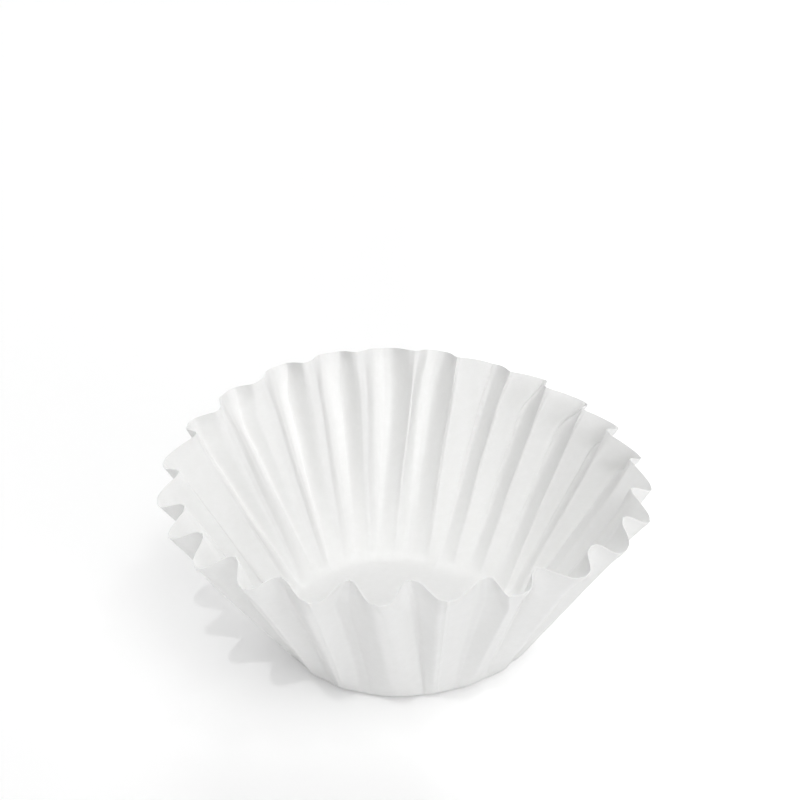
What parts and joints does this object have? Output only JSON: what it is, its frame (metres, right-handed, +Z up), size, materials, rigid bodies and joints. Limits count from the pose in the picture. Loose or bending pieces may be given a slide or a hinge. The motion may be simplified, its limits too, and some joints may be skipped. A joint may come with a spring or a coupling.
{
  "type": "paper coffee filter",
  "caption": "Round flat-bottomed paper basket filter: one pressed sheet with a flat floor and a flared, unevenly pleated wall, open at the top.",
  "frame": {"origin": "middle of the floor's underside, on the surface that the filter stands on", "axes": "+Z up, out of the open top; -Y towards the camera of the picture, +X to its right"},
  "size_m": [0.1506, 0.1441, 0.0661],
  "materials": {
    "white_paper": "matt, soft, slightly fibrous"
  },
  "bodies": {
    "root": {"paper_filter": "white_paper"}
  },
  "joints": []
}
